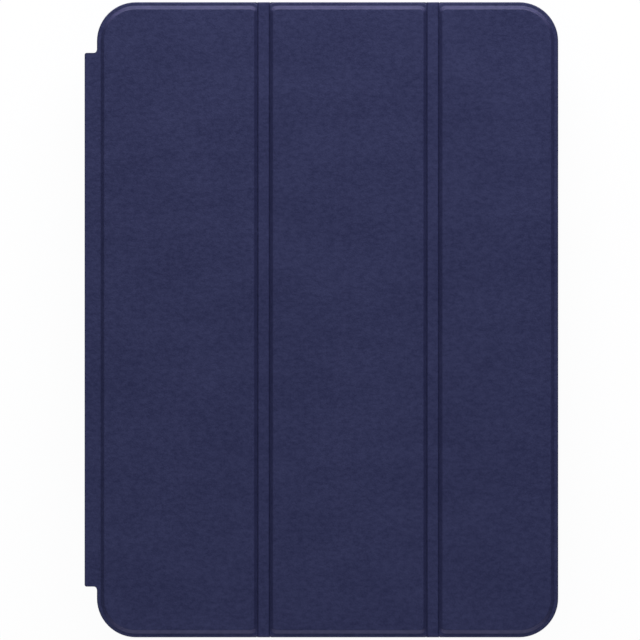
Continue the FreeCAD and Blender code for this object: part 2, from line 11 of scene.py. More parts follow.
import bmesh
import bpy
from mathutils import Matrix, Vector

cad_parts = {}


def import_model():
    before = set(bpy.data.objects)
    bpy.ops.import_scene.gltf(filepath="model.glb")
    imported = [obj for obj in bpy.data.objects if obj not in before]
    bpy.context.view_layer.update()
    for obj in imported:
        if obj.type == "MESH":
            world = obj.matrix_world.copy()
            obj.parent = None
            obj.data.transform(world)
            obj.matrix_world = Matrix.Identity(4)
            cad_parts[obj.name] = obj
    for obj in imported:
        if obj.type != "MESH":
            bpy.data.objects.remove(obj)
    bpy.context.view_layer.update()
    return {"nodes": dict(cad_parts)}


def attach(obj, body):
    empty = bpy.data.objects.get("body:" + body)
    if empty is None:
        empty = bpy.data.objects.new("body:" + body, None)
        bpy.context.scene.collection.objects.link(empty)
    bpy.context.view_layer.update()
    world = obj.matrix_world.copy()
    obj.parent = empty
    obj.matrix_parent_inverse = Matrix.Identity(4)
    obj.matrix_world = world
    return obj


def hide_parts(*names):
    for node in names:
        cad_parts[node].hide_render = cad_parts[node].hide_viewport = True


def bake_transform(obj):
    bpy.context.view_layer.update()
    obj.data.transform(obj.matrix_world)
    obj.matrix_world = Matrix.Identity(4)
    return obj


LOG = logging.getLogger("tablet_case")
MM = 0.001
SHARP_ANGLE = math.radians(38)
CORNER_STEPS = 14
ARC_STEPS = 6
MERGE_DISTANCE = 1e-6
SLIVER = 1e-7

Pair = tuple[float, float]
Point = tuple[float, float, float]
Colour = tuple[float, float, float]
Section = list[Pair]


class Body(Enum):
    """The moving bodies that pieces ride on."""

    TRAY = "tray"
    SPINE = "spine"
    PANEL_1 = "panel_1"
    CREASE_1 = "crease_1"
    PANEL_2 = "panel_2"
    CREASE_2 = "crease_2"
    PANEL_3 = "panel_3"


class Slot(Enum):
    """The record's material slots."""

    LEATHER = "leather"
    MICROFIBRE = "microfibre"


class Held(Enum):
    """How a sheet is held."""

    LAID = "laid"
    STRETCHED = "stretched"


class Wall(Enum):
    """The tray's walls that an opening goes through."""

    SIDE = "side"
    END = "end"


class Wire:
    """A node's output, with arithmetic that adds Math nodes."""

    def __init__(self, bench: Bench, socket: bpy.types.NodeSocket) -> None:
        """Keeps the socket and the bench that makes nodes for it."""
        self.bench = bench
        self.socket = socket

    def maths(self, operation: str, *values: Any) -> Wire:
        """Adds a Math node.

        Args:
            operation: the Math node's operation.
            values: its inputs, in order.

        Returns:
            The result.
        """
        keys = ("Value", "Value_001", "Value_002")
        return self.bench.node("ShaderNodeMath", {"operation": operation}, dict(zip(keys, values)))

    def __add__(self, other: Any) -> Wire:
        """Sum."""
        return self.maths("ADD", self, other)

    __radd__ = __add__

    def __sub__(self, other: Any) -> Wire:
        """Difference."""
        return self.maths("SUBTRACT", self, other)

    def __rsub__(self, other: Any) -> Wire:
        """Difference from a number."""
        return self.maths("SUBTRACT", other, self)

    def __mul__(self, other: Any) -> Wire:
        """Product."""
        return self.maths("MULTIPLY", self, other)

    __rmul__ = __mul__

    def least(self, other: Any) -> Wire:
        """The smaller of two values."""
        return self.maths("MINIMUM", self, other)

    def most(self, other: Any) -> Wire:
        """The larger of two values."""
        return self.maths("MAXIMUM", self, other)

    def size(self) -> Wire:
        """The value without its sign."""
        return self.maths("ABSOLUTE", self)

    def ramp(self, low: float, high: float) -> Wire:
        """A smooth step.

        Args:
            low: the value that becomes 0.
            high: the value that becomes 1.

        Returns:
            The step.
        """
        values = {"Value": self, "From Min": low, "From Max": high, "To Min": 0.0, "To Max": 1.0}
        return self.bench.node("ShaderNodeMapRange", {"interpolation_type": "SMOOTHSTEP"}, values)


class Bench:
    """Makes and links the nodes of one tree."""

    def __init__(self, tree: bpy.types.NodeTree) -> None:
        """Keeps the tree."""
        self.tree = tree

    @classmethod
    def cleared(cls, owner: bpy.types.Material | bpy.types.World) -> Bench:
        """Empties the node tree of a material or a world.

        Args:
            owner: the material or world.

        Returns:
            The tree's bench.
        """
        owner.use_nodes = True
        owner.node_tree.nodes.clear()
        return cls(owner.node_tree)

    def find(self, sockets: Any, key: Any) -> bpy.types.NodeSocket:
        """Finds a socket.

        Args:
            sockets: a node's inputs or outputs.
            key: its identifier, name or place.

        Returns:
            The socket.
        """
        if isinstance(key, int):
            return sockets[key]
        for socket in sockets:
            if socket.identifier == key:
                return socket
        return sockets[key]

    def node(
        self,
        kind: str,
        settings: dict | None = None,
        inputs: dict | None = None,
        output: Any = 0,
    ) -> Wire:
        """Adds a node.

        Args:
            kind: the node's type.
            settings: its properties, set first.
            inputs: values or wires of its sockets, by identifier, name or place.
            output: the output to return.

        Returns:
            That output, or the first input of a node that has no output.
        """
        node = self.tree.nodes.new(kind)
        for name, value in (settings or {}).items():
            setattr(node, name, value)
        for key, value in (inputs or {}).items():
            socket = self.find(node.inputs, key)
            if isinstance(value, Wire):
                self.tree.links.new(value.socket, socket)
            else:
                socket.default_value = value
        if not len(node.outputs):
            return Wire(self, node.inputs[0])
        return Wire(self, self.find(node.outputs, output))

    def mix(self, factor: Any, first: Any, second: Any) -> Wire:
        """Mixes two colours.

        Args:
            factor: the second colour's share.
            first: a colour or a wire.
            second: a colour or a wire.

        Returns:
            The mixed colour.
        """
        colours = [c if isinstance(c, Wire) else (*c, 1.0) for c in (first, second)]
        values = {"Factor_Float": factor, "A_Color": colours[0], "B_Color": colours[1]}
        return self.node("ShaderNodeMix", {"data_type": "RGBA"}, values, "Result_Color")

    def noise(self, at: Wire, scale: float, detail: float = 2.0, distortion: float = 0.0) -> Wire:
        """Smooth noise between about 0.2 and 0.8, with so many features to the metre."""
        values = {"Vector": at, "Scale": scale, "Detail": detail, "Distortion": distortion}
        return self.node("ShaderNodeTexNoise", None, values, "Fac")

    def stretched(self, at: Wire, scale: Point) -> Wire:
        """Coordinates scaled along each axis."""
        return self.node("ShaderNodeMapping", None, {"Vector": at, "Scale": scale})

    def axis(self, at: Wire, name: str) -> Wire:
        """One component of a vector."""
        return self.node("ShaderNodeSeparateXYZ", None, {"Vector": at}, name)

    def vector(self, operation: str, first: Any, second: Any) -> Wire:
        """A sum or product of two vectors, part by part."""
        return self.node("ShaderNodeVectorMath", {"operation": operation}, {0: first, 1: second})


class Surface:
    """A principled material that is being put together."""

    def __init__(self, name: str) -> None:
        """Starts an empty material."""
        self.material = bpy.data.materials.new(name)
        self.bench = Bench.cleared(self.material)
        self.place = self.bench.node("ShaderNodeTexCoord", None, None, "Object")
        self.facing = self.bench.node("ShaderNodeTexCoord", None, None, "Normal")

    def turned(self, axis: str, span: Pair) -> Wire:
        """How far a face turns to either end of an axis, stepped between a span's two ends."""
        return self.bench.axis(self.facing, axis).size().ramp(*span)

    def finish(self, height: Wire, depth: float, sockets: dict) -> bpy.types.Material:
        """Adds the bump, the shader and the output.

        Args:
            height: the relief.
            depth: the relief's depth in metres.
            sockets: the shader's other inputs.

        Returns:
            The material.
        """
        relief = {"Strength": 1.0, "Distance": depth, "Height": height}
        bump = self.bench.node("ShaderNodeBump", None, relief)
        shader = self.bench.node("ShaderNodeBsdfPrincipled", None, {**sockets, "Normal": bump})
        self.bench.node("ShaderNodeOutputMaterial", None, {"Surface": shader})
        return self.material


@dataclass(frozen=True)
class Leather:
    """Fine-grained synthetic leather with a low sheen.

    Patterns have so many features to the metre, and a span holds the two ends of a smooth step.
    """

    name: str = "navy_grained_leather"
    dark: Colour = (0.0164, 0.0188, 0.0520)
    light: Colour = (0.0325, 0.0362, 0.0852)
    # The lighter purple colour below lightens the slopes that face the ends as rubbed wear and
    # painted highlight; the near-black pressed colour darkens the slopes that face the sides as
    # painted shade.
    wear_and_highlight_colour: Colour = (0.0630, 0.0600, 0.1320)
    pressed: Colour = (0.0085, 0.0092, 0.0340)
    grain: float = 1500.0
    wave: float = 500.0
    warp: Point = (0.0004, 0.0004, 0.0004)
    pore: float = 3600.0
    cloud: float = 70.0
    cloud_stretch: Point = (0.45, 1.0, 1.0)
    fleck: float = 675.0
    fleck_stretch: Point = (0.6, 1.0, 1.0)
    scuff: float = 420.0
    relief: float = 0.00006
    pebble_span: Pair = (0.15, 0.75)
    pore_span: Pair = (0.42, 0.66)
    cloud_span: Pair = (0.30, 0.72)
    fleck_span: Pair = (0.25, 0.75)
    scuff_span: Pair = (0.38, 0.70)
    tilt_span: Pair = (0.02, 0.14)
    upright_span: Pair = (0.60, 0.95)
    shaded_side_span: Pair = (0.10, 0.50)
    end_span: Pair = (0.15, 0.50)
    side_shade_share: float = 0.42
    wear_and_highlight_share: float = 0.42
    scuffing: float = 0.25
    roughness: float = 0.60
    gloss: float = 0.05
    polish: float = 0.26
    polish_roughness: float = 0.38

    def pebbles(self, surface: Surface) -> Wire:
        """The pebbled grain.

        Args:
            surface: the material.

        Returns:
            1 on a pebble's top and 0 between pebbles.
        """
        bench, place = surface.bench, surface.place
        waves = {"Vector": place, "Scale": self.wave, "Detail": 1.0}
        warp = bench.node("ShaderNodeTexNoise", None, waves, "Color")
        bent = bench.vector("ADD", place, bench.vector("MULTIPLY", warp, self.warp))
        cell = {"Vector": bent, "Scale": self.grain}
        cells = bench.node("ShaderNodeTexVoronoi", {"feature": "SMOOTH_F1"}, cell)
        return 1.0 - cells.ramp(*self.pebble_span)

    def material(self) -> bpy.types.Material:
        """Makes the material: pebbled grain, pores, clouding, rubbed wear with a painted highlight
        on the end slopes, and painted shade on the side slopes.

        Returns:
            The material.
        """
        surface = Surface(self.name)
        bench, place = surface.bench, surface.place
        pebble = self.pebbles(surface)
        pores = bench.noise(place, self.pore).ramp(*self.pore_span)
        broad = bench.stretched(place, self.cloud_stretch)
        clouds = bench.noise(broad, self.cloud, detail=4.0, distortion=0.4)
        fine = bench.stretched(place, self.fleck_stretch)
        flecks = bench.noise(fine, self.fleck, detail=3.0).ramp(*self.fleck_span)
        tone = clouds.ramp(*self.cloud_span) * 0.22 + flecks * 0.48 + pebble * 0.30

        slope = 1.0 - bench.axis(surface.facing, "Z").size()
        tilt = slope.ramp(*self.tilt_span) * (1.0 - slope.ramp(*self.upright_span))
        side = surface.turned("X", self.shaded_side_span)
        end = surface.turned("Y", self.end_span)
        scuffs = bench.noise(place, self.scuff, detail=3.0).ramp(*self.scuff_span)
        # Rubbed wear and painted highlight: the slopes that turn to the ends are lightened, more
        # where scuffed.
        wear_and_highlight = tilt * end * (scuffs * self.scuffing + self.wear_and_highlight_share)
        colour = bench.mix(tone, self.dark, self.light)
        # Painted shade: the slopes that turn to the sides are darkened towards the pressed colour.
        colour = bench.mix(tilt * side * self.side_shade_share, colour, self.pressed)
        sockets = {
            "Base Color": bench.mix(wear_and_highlight, colour, self.wear_and_highlight_colour),
            "Roughness": self.roughness - pebble * 0.06 + clouds * 0.08 - tilt * 0.14,
            "Specular IOR Level": self.gloss,
            "Coat Weight": tilt * (1.0 - side * 0.9) * self.polish,
            "Coat Roughness": self.polish_roughness,
        }
        return surface.finish(pebble * 0.7 + pores * 0.3, self.relief, sockets)


@dataclass(frozen=True)
class Microfibre:
    """Short-napped lining cloth."""

    name: str = "navy_microfibre"
    dark: Colour = (0.0180, 0.0210, 0.0540)
    light: Colour = (0.0360, 0.0410, 0.0940)
    nap: float = 5200.0
    nap_stretch: Point = (1.0, 0.3, 1.0)
    tuft: float = 1040.0
    brush: float = 46.0
    brush_stretch: Point = (1.0, 0.5, 1.0)
    relief: float = 0.00005
    roughness: float = 0.86
    gloss: float = 0.05
    sheen: float = 0.02
    sheen_roughness: float = 0.5

    def material(self) -> bpy.types.Material:
        """Makes the material: fibres that lie one way, with faint brushed patches.

        Returns:
            The material.
        """
        surface = Surface(self.name)
        bench, place = surface.bench, surface.place
        fibres = bench.noise(bench.stretched(place, self.nap_stretch), self.nap, detail=3.0)
        tufts = bench.noise(place, self.tuft, detail=3.0)
        combed = bench.stretched(place, self.brush_stretch)
        brushed = bench.noise(combed, self.brush, detail=3.0, distortion=1.2)
        tone = brushed.ramp(0.36, 0.66) * 0.2 + tufts.ramp(0.3, 0.7) * 0.45 + fibres * 0.35
        sockets = {
            "Base Color": bench.mix(tone, self.dark, self.light),
            "Roughness": self.roughness + tufts * 0.1,
            "Specular IOR Level": self.gloss,
            "Sheen Weight": self.sheen,
            "Sheen Roughness": self.sheen_roughness,
        }
        return surface.finish(fibres * 0.5 + tufts * 0.5, self.relief, sockets)


@dataclass(frozen=True)
class Moulded:
    """Moulded plastic with a spark-eroded texture."""

    name: str
    dark: Colour
    light: Colour
    roughness: float
    texture: float = 2600.0
    flow: float = 55.0
    flow_stretch: Point = (1.0, 0.25, 1.0)
    relief: float = 0.00003
    gloss: float = 0.3

    def material(self) -> bpy.types.Material:
        """Makes the material: an even fine texture over faint flow marks.

        Returns:
            The material.
        """
        surface = Surface(self.name)
        bench, place = surface.bench, surface.place
        spark = bench.noise(place, self.texture, detail=3.0)
        drawn = bench.stretched(place, self.flow_stretch)
        flow = bench.noise(drawn, self.flow, detail=3.0, distortion=0.6)
        tone = spark.ramp(0.3, 0.7) * 0.5 + flow * 0.5
        sockets = {
            "Base Color": bench.mix(tone, self.dark, self.light),
            "Roughness": self.roughness + spark * 0.14 - flow.ramp(0.5, 0.8) * 0.1,
            "Specular IOR Level": self.gloss,
        }
        return surface.finish(spark, self.relief, sockets)


@dataclass(frozen=True)
class FibreBoard:
    """Pressed grey board with painted ends."""

    name: str = "pressed_board"
    dark: Colour = (0.20, 0.19, 0.17)
    light: Colour = (0.40, 0.39, 0.36)
    painted: Colour = (0.020, 0.023, 0.060)
    fibre: float = 1900.0
    fibre_stretch: Point = (0.3, 1.0, 1.0)
    fleck: float = 700.0
    end_span: Pair = (0.7, 0.9)
    relief: float = 0.00004
    roughness: float = 0.85

    def material(self) -> bpy.types.Material:
        """Makes the material: matted fibres with darker flecks, and edge paint on the ends.

        Returns:
            The material.
        """
        surface = Surface(self.name)
        bench, place = surface.bench, surface.place
        matted = bench.stretched(place, self.fibre_stretch)
        fibres = bench.noise(matted, self.fibre, detail=4.0, distortion=0.8)
        flecks = bench.noise(place, self.fleck).ramp(0.60, 0.70)
        tone = fibres.ramp(0.3, 0.7) - flecks * 0.5
        end = surface.turned("Y", self.end_span)
        grey = bench.mix(tone.most(0.0), self.dark, self.light)
        sockets = {
            "Base Color": bench.mix(end, grey, self.painted),
            "Roughness": self.roughness + fibres * 0.1 - end * 0.3,
        }
        return surface.finish(fibres, self.relief, sockets)


@dataclass(frozen=True)
class Metal:
    """Rolled or plated metal with fine lines along its length."""

    name: str
    dark: Colour
    light: Colour
    roughness: float
    line: float = 5200.0
    line_stretch: Point = (1.0, 0.03, 1.0)
    stain: float = 130.0
    relief: float = 0.00001

    def material(self) -> bpy.types.Material:
        """Makes the material: rolling lines and faint stains.

        Returns:
            The material.
        """
        surface = Surface(self.name)
        bench, place = surface.bench, surface.place
        lines = bench.noise(bench.stretched(place, self.line_stretch), self.line, detail=3.0)
        stains = bench.noise(place, self.stain, detail=4.0).ramp(0.45, 0.75)
        sockets = {
            "Base Color": bench.mix(lines * 0.7 + stains * 0.3, self.dark, self.light),
            "Roughness": self.roughness + lines * 0.12 + stains * 0.1,
            "Metallic": 1.0,
        }
        return surface.finish(lines, self.relief, sockets)


@dataclass
class Finishes:
    """The materials that the pieces share."""

    leather: bpy.types.Material
    microfibre: bpy.types.Material
    shell: bpy.types.Material
    key: bpy.types.Material
    board: bpy.types.Material
    magnet: bpy.types.Material
    steel: bpy.types.Material

    @classmethod
    def make(cls) -> Finishes:
        """Makes every material once.

        Returns:
            The materials.
        """
        shell = ("navy_shell_plastic", (0.0150, 0.0170, 0.0400), (0.0260, 0.0290, 0.0620), 0.42)
        key = ("navy_key_plastic", (0.0230, 0.0260, 0.0660), (0.0330, 0.0370, 0.0880), 0.30)
        nickel = ("nickel_plate", (0.42, 0.41, 0.39), (0.66, 0.65, 0.62), 0.18)
        steel = ("rolled_steel", (0.30, 0.30, 0.31), (0.50, 0.50, 0.51), 0.30)
        return cls(
            leather=Leather().material(),
            microfibre=Microfibre().material(),
            shell=Moulded(*shell).material(),
            key=Moulded(*key).material(),
            board=FibreBoard().material(),
            magnet=Metal(*nickel).material(),
            steel=Metal(*steel).material(),
        )


def eased(share: float) -> float:
    """A share between 0 and 1, eased in and out."""
    return share * share * (3.0 - 2.0 * share)


def arc(centre: Pair, radius: float, start: float, end: float, steps: int = ARC_STEPS) -> Section:
    """Points on an arc.

    Args:
        centre: the arc's centre.
        radius: its radius.
        start: the first point's angle in degrees.
        end: the last point's angle.
        steps: how many chords.

    Returns:
        The points, both ends among them.
    """
    angles = [math.radians(start + (end - start) * step / steps) for step in range(steps + 1)]
    return [(centre[0] + radius * math.cos(a), centre[1] + radius * math.sin(a)) for a in angles]


def paint(mesh: bpy.types.Mesh, material: bpy.types.Material) -> None:
    """Gives a mesh one material."""
    mesh.materials.clear()
    mesh.materials.append(material)


def dress(mesh: bpy.types.Mesh, material: bpy.types.Material) -> None:
    """Closes a mesh's holes, turns its faces outwards, smooths it and gives it a material.

    Args:
        mesh: the mesh.
        material: its finish.
    """
    shape = bmesh.new()
    shape.from_mesh(mesh)
    bmesh.ops.remove_doubles(shape, verts=shape.verts, dist=MERGE_DISTANCE)
    bmesh.ops.dissolve_degenerate(shape, edges=shape.edges, dist=SLIVER)
    open_edges = [edge for edge in shape.edges if edge.is_boundary]
    bmesh.ops.holes_fill(shape, edges=open_edges, sides=0)
    bmesh.ops.recalc_face_normals(shape, faces=shape.faces)
    for face in shape.faces:
        face.smooth = True
        face.material_index = 0
    shape.to_mesh(mesh)
    shape.free()
    mesh.set_sharp_from_angle(angle=SHARP_ANGLE)
    paint(mesh, material)


def place_mesh(name: str, mesh: bpy.types.Mesh) -> bpy.types.Object:
    """Puts a mesh in the scene as an object at the origin.

    Args:
        name: the object's name, which the mesh takes too.
        mesh: the mesh.

    Returns:
        The object.
    """
    piece = bpy.data.objects.new(name, mesh)
    mesh.name = name
    bpy.context.scene.collection.objects.link(piece)
    return piece


def plain_mesh(made: bpy.types.Object) -> bpy.types.Mesh:
    """The mesh that an object's modifiers give.

    Args:
        made: the object.

    Returns:
        A new mesh, free of the modifiers.
    """
    bpy.context.view_layer.update()
    graph = bpy.context.evaluated_depsgraph_get()
    return bpy.data.meshes.new_from_object(made.evaluated_get(graph))


def loft(
    name: str,
    rings: list[list[Point]],
    material: bpy.types.Material,
    ribbon: bool = False,
) -> bpy.types.Object:
    """Joins rings of points into a closed solid.

    Args:
        name: the piece's name.
        rings: rings in metres, each with the same number of points.
        material: its finish.
        ribbon: closes the ends with quads between a ring's first half and its second half,
            run backwards.

    Returns:
        The piece.
    """
    shape = bmesh.new()
    rows = [[shape.verts.new(point) for point in ring] for ring in rings]
    count = len(rings[0])
    for lower, upper in zip(rows, rows[1:]):
        for index in range(count):
            after = (index + 1) % count
            shape.faces.new((lower[index], lower[after], upper[after], upper[index]))
    for row in (rows[0], rows[-1]):
        if not ribbon:
            shape.faces.new(row)
            continue
        for index in range(count // 2 - 1):
            far = count - 1 - index
            shape.faces.new((row[index], row[index + 1], row[far - 1], row[far]))
    mesh = bpy.data.meshes.new(name)
    shape.to_mesh(mesh)
    shape.free()
    dress(mesh, material)
    return place_mesh(name, mesh)


def cut(
    piece: bpy.types.Object, cutters: list[bpy.types.Object], material: bpy.types.Material
) -> None:
    """Cuts openings in a piece and removes the cutters.

    Args:
        piece: the piece.
        cutters: closed solids, one for each opening.
        material: the piece's finish.
    """
    for cutter in cutters:
        step = piece.modifiers.new(cutter.name, "BOOLEAN")
        step.operation = "DIFFERENCE"
        step.solver = "EXACT"
        step.object = cutter
    mesh = plain_mesh(piece)
    piece.modifiers.clear()
    spare = piece.data
    piece.data = mesh
    mesh.name = piece.name
    bpy.data.meshes.remove(spare)
    for cutter in cutters:
        bpy.data.objects.remove(cutter)
    for face in mesh.polygons:
        face.use_smooth = True
        face.material_index = 0
    mesh.set_sharp_from_angle(angle=SHARP_ANGLE)
    paint(mesh, material)


def rounded_ring(size: Pair, radius: float) -> Section:
    """A rounded rectangle about the origin.

    Args:
        size: its width and height.
        radius: its corner radius.

    Returns:
        Its points, in order.
    """
    across, up = size[0] / 2 - radius, size[1] / 2 - radius
    turns = ((across, up, 0), (-across, up, 90), (-across, -up, 180), (across, -up, 270))
    corners = (arc((x, y), radius, turn, turn + 90, CORNER_STEPS) for x, y, turn in turns)
    return [point for corner in corners for point in corner]


def stands_for(piece: bpy.types.Object, slot: Slot, *nodes: str) -> None:
    """Hides the nodes that a piece replaces and logs which they are.

    Args:
        piece: the piece.
        slot: its material slot; not used.
        nodes: the nodes that it replaces.
    """
    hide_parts(*nodes)
    LOG.info("%s stands for %s", piece.name, ", ".join(nodes))


class SectionSweep:
    """Sweeps a section round a rounded outline, and stops it at a limit on the left and right."""

    INPUTS = {
        "Section": "NodeSocketObject",
        "Width": "NodeSocketFloat",
        "Length": "NodeSocketFloat",
        "Left Corner": "NodeSocketFloat",
        "Right Corner": "NodeSocketFloat",
        "Middle": "NodeSocketFloat",
        "Left Limit": "NodeSocketFloat",
        "Right Limit": "NodeSocketFloat",
        "Material": "NodeSocketMaterial",
    }

    def __init__(self) -> None:
        """Builds the node tree."""
        self.tree = bpy.data.node_groups.new("section_sweep", "GeometryNodeTree")
        face = self.tree.interface
        self.keys: dict[str, str] = {}
        for name, kind in self.INPUTS.items():
            socket = face.new_socket(name=name, in_out="INPUT", socket_type=kind)
            self.keys[name] = socket.identifier
        face.new_socket(name="Piece", in_out="OUTPUT", socket_type="NodeSocketGeometry")
        bench = Bench(self.tree)
        group = self.tree.nodes.new("NodeGroupInput")
        given = {n: Wire(bench, bench.find(group.outputs, key)) for n, key in self.keys.items()}
        swept = self.swept(bench, given)

        place = bench.node("GeometryNodeInputPosition")
        moved = bench.axis(place, "X") + given["Middle"]
        kept = moved.most(given["Left Limit"]).least(given["Right Limit"])
        spot = {"X": kept, "Y": bench.axis(place, "Y"), "Z": bench.axis(place, "Z")}
        position = bench.node("ShaderNodeCombineXYZ", None, spot)
        limits = {"Geometry": swept, "Position": position}
        limited = bench.node("GeometryNodeSetPosition", None, limits)
        real = bench.node("GeometryNodeRealizeInstances", None, {"Geometry": limited})
        dressed = {"Geometry": real, "Material": given["Material"]}
        finished = bench.node("GeometryNodeSetMaterial", None, dressed)
        bench.node("NodeGroupOutput", None, {"Piece": finished})

    @staticmethod
    def swept(bench: Bench, given: dict[str, Wire]) -> Wire:
        """Adds the nodes that sweep the section.

        Args:
            bench: the tree's bench.
            given: the tree's inputs.

        Returns:
            The swept mesh, about the origin.
        """
        sides = {"Width": given["Width"], "Height": given["Length"]}
        outline = bench.node(
            "GeometryNodeCurvePrimitiveQuadrilateral", {"mode": "RECTANGLE"}, sides
        )
        across = bench.axis(bench.node("GeometryNodeInputPosition"), "X")
        at_left = across.maths("LESS_THAN", across, 0.0)
        radius = at_left * given["Left Corner"] + (1.0 - at_left) * given["Right Corner"]
        corners = {
            "Curve": outline,
            "Count": CORNER_STEPS,
            "Radius": radius,
            "Limit Radius": True,
        }
        rounded = bench.node("GeometryNodeFilletCurve", {"mode": "POLY"}, corners)
        level = bench.node("GeometryNodeSetCurveNormal", {"mode": "Z_UP"}, {"Curve": rounded})
        guide = {"Object": given["Section"]}
        section = bench.node("GeometryNodeObjectInfo", None, guide, "Geometry")
        lines = {"Curve": level, "Profile Curve": section}
        return bench.node("GeometryNodeCurveToMesh", None, lines)

    def piece(self, name: str, section: Section, values: dict) -> bpy.types.Object:
        """Makes one piece.

        Args:
            name: the piece's name.
            section: (inset from the outline, height) points in millimetres.
            values: the tree's other inputs, lengths in millimetres.

        Returns:
            The piece, as a plain closed mesh.
        """
        line = bpy.data.curves.new(f"{name}_section", "CURVE")
        line.dimensions = "3D"
        spline = line.splines.new("POLY")
        spline.points.add(len(section) - 1)
        for point, (inset, height) in zip(spline.points, section):
            point.co = (-inset * MM, -height * MM, 0.0, 1.0)
        guide = bpy.data.objects.new(f"{name}_section", line)
        bpy.context.scene.collection.objects.link(guide)

        maker = place_mesh(f"{name}_maker", bpy.data.meshes.new(f"{name}_maker"))
        sweep = maker.modifiers.new("sweep", "NODES")
        sweep.node_group = self.tree
        sweep[self.keys["Section"]] = guide
        for key, value in values.items():
            sweep[self.keys[key]] = value if key == "Material" else value * MM
        mesh = plain_mesh(maker)
        maker.modifiers.clear()
        bpy.data.objects.remove(maker)
        bpy.data.objects.remove(guide)
        dress(mesh, values["Material"])
        return place_mesh(name, mesh)


@dataclass
class Tray:
    """The moulded tray's leather and floor lining, in millimetres.

    An opening is a (width, height), and the camera's two windows are a (side, corner radius).
    """

    finishes: Finishes
    sweep: SectionSweep
    width: float = 182.9
    length: float = 252.0
    corner: float = 15.3
    skin: float = 0.5
    wall_top: float = 8.7
    rim_top: float = 9.2
    rim_reach: float = 2.6
    rim_round: float = 0.35
    rear_round: float = 2.9
    floor_low: float = 1.5
    floor_high: float = 1.9
    lining_width: float = 179.0
    lining_length: float = 248.1
    lining_corner: float = 13.35
    lining_edge: float = 0.15
    lining_ring: float = 1.0
    camera: Pair = (67.55, 102.1)
    leather_window: Pair = (33.7, 10.35)
    leather_window_cut: Pair = (-1.0, 1.2)
    lining_window: Pair = (31.0, 9.0)
    lining_window_cut: Pair = (1.0, 2.4)
    opening_level: float = 4.95
    speaker: Pair = (28.0, 3.2)
    speaker_place: float = 44.0
    port: Pair = (16.0, 5.0)
    power: Pair = (11.3, 2.9)
    power_place: float = 68.55
    volume: Pair = (12.3, 2.9)
    volume_places: Pair = (87.1, 71.1)
    cutter_depth: float = 6.0
    end_share: float = 0.45

    def leather_section(self) -> Section:
        """The skin's section.

        Returns:
            Floor, inner wall, rim, outer wall and the round rear edge.
        """
        inner_round = self.rear_round - self.skin
        rear = (self.rear_round, self.rear_round)
        lip = self.rim_reach - self.rim_round
        top = self.rim_top - self.rim_round
        points = arc(rear, inner_round, 270, 180)
        points += [(self.skin, self.wall_top), (self.rim_reach, self.wall_top)]
        points += arc((lip, top), self.rim_round, 0, 90, steps=4)
        points += arc((self.rim_round, top), self.rim_round, 90, 180, steps=4)
        return points + arc(rear, self.rear_round, 180, 270, steps=10)

    def lining_section(self) -> Section:
        """The floor lining's section.

        Returns:
            The lower face, the edge with its corners taken off, and the upper face.
        """
        edge, ring = self.lining_edge, self.lining_ring
        low, high = self.floor_low, self.floor_high
        lower = [(ring, low), (edge, low), (0.0, low + edge)]
        return lower + [(0.0, high - edge), (edge, high), (ring, high)]

    def slot(self, name: str, size: Pair, centre: Point, wall: Wall) -> bpy.types.Object:
        """A cutter for an opening.

        Args:
            name: the cutter's name.
            size: the opening's width and height.
            centre: its middle, in the wall.
            wall: the wall that it goes through.

        Returns:
            The cutter.
        """
        ring = rounded_ring(size, min(size) * self.end_share)
        rings = []
        for depth in (-self.cutter_depth / 2, self.cutter_depth / 2):
            points = []
            for across, up in ring:
                spot = (depth, across, up) if wall is Wall.SIDE else (across, depth, up)
                points.append(tuple((a + b) * MM for a, b in zip(spot, centre)))
            rings.append(points)
        return loft(name, rings, self.finishes.leather)

    def window(self, size: Pair, heights: Pair) -> bpy.types.Object:
        """A cutter for the camera window.

        Args:
            size: the window's side and corner radius.
            heights: the cutter's lower and upper end.

        Returns:
            The cutter.
        """
        side, radius = size
        ring = rounded_ring((side, side), radius)
        right, up = self.camera
        rings = [[((right + x) * MM, (up + y) * MM, z * MM) for x, y in ring] for z in heights]
        return loft("camera_cutter", rings, self.finishes.leather)

    def openings(self) -> list[bpy.types.Object]:
        """The cutters for the leather's openings.

        Returns:
            The camera window, speaker slots, port and key windows.
        """
        end, side, level = self.length / 2, self.width / 2, self.opening_level
        cutters = [self.window(self.leather_window, self.leather_window_cut)]
        for sign in (-1, 1):
            for wall in (-1, 1):
                centre = (self.speaker_place * sign, end * wall, level)
                name = f"speaker_cutter_{sign}_{wall}"
                cutters.append(self.slot(name, self.speaker, centre, Wall.END))
        cutters.append(self.slot("port_cutter", self.port, (0.0, -end, level), Wall.END))
        place = (self.power_place, end, level)
        cutters.append(self.slot("power_cutter", self.power, place, Wall.END))
        for along in self.volume_places:
            name = f"volume_cutter_{along:.0f}"
            cutters.append(self.slot(name, self.volume, (side, along, level), Wall.SIDE))
        return cutters

    def build(self) -> None:
        """Builds the tray's leather and the lining on its floor."""
        values = {
            "Width": self.width,
            "Length": self.length,
            "Left Corner": self.corner,
            "Right Corner": self.corner,
            "Middle": 0.0,
            "Left Limit": -self.width,
            "Right Limit": self.width,
            "Material": self.finishes.leather,
        }
        leather = self.sweep.piece("tray_leather", self.leather_section(), values)
        cut(leather, self.openings(), self.finishes.leather)
        stands_for(leather, Slot.LEATHER, "rear_skin")
        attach(leather, Body.TRAY.value)
        flat = ((self.width + 2 * self.rim_top) * MM, (self.length + 2 * self.rim_top) * MM)

        values.update(
            {
                "Width": self.lining_width,
                "Length": self.lining_length,
                "Left Corner": self.lining_corner,
                "Right Corner": self.lining_corner,
                "Material": self.finishes.microfibre,
            }
        )
        lining = self.sweep.piece("tray_lining", self.lining_section(), values)
        window = self.window(self.lining_window, self.lining_window_cut)
        cut(lining, [window], self.finishes.microfibre)
        stands_for(lining, Slot.MICROFIBRE, "rear_lining")
        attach(lining, Body.TRAY.value)
        flat = (self.lining_width * MM, self.lining_length * MM)


